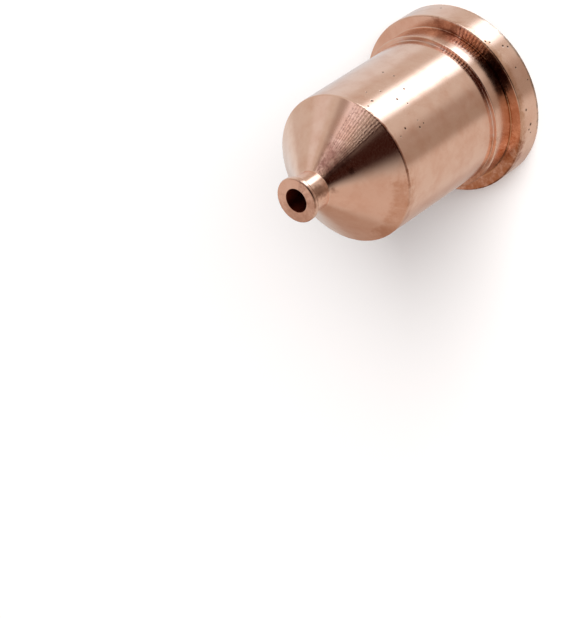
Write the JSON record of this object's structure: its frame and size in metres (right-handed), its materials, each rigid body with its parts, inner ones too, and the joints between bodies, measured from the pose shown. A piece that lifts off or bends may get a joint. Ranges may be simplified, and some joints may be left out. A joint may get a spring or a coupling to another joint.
{
  "type": "plasma torch nozzle",
  "caption": "Turned copper nozzle for a plasma cutting torch: flanged and stepped round body, conical front and slim rimmed neck with a central orifice, hollow from the back.",
  "frame": {"origin": "centre of the flange's back face, on which the nozzle stands", "axes": "+Z along the nozzle's axis from the flange's back face to the tip; the part is round about it, so +X and +Y are free"},
  "size_m": [0.016, 0.016, 0.0228],
  "materials": {
    "copper": "fine-turned bare copper, satin bright"
  },
  "bodies": {
    "root": {"nozzle": "copper"}
  },
  "joints": []
}
